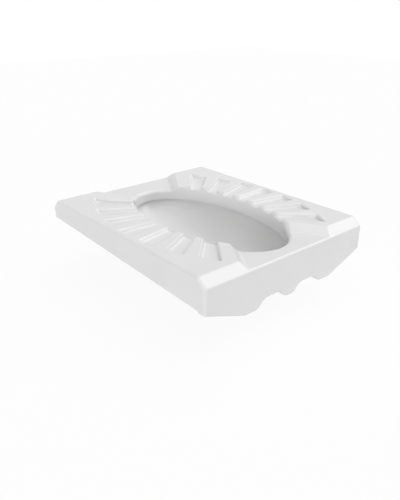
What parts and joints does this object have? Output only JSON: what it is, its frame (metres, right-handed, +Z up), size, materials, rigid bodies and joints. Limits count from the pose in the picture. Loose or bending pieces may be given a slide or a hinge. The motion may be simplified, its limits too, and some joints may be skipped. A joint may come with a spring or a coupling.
{
  "type": "squat toilet pan",
  "caption": "Floor-level ceramic squat pan: grooved footrests round an oval opening, a flushing rim, a bowl that falls to a round waste spigot at the front, and a rear flush inlet.",
  "frame": {"origin": "centre of the waste spigot's lower end", "axes": "+X to the right, seen from the front; +Y along the pan, from the waved front wall to the rear face with the flush inlet; +Z up out of the bowl"},
  "size_m": [0.51, 0.623, 0.2015],
  "materials": {
    "china": "glossy white glaze",
    "rubber": "matte black rubber"
  },
  "bodies": {
    "root": {"deck": "china", "flush_gallery": "china", "bowl": "china", "waste_spigot": "china", "inlet_horn": "china", "web_left_front": "china", "web_left_rear": "china", "web_right_front": "china", "web_right_rear": "china", "inlet_seal": "rubber", "waste_seal": "rubber"}
  },
  "joints": []
}
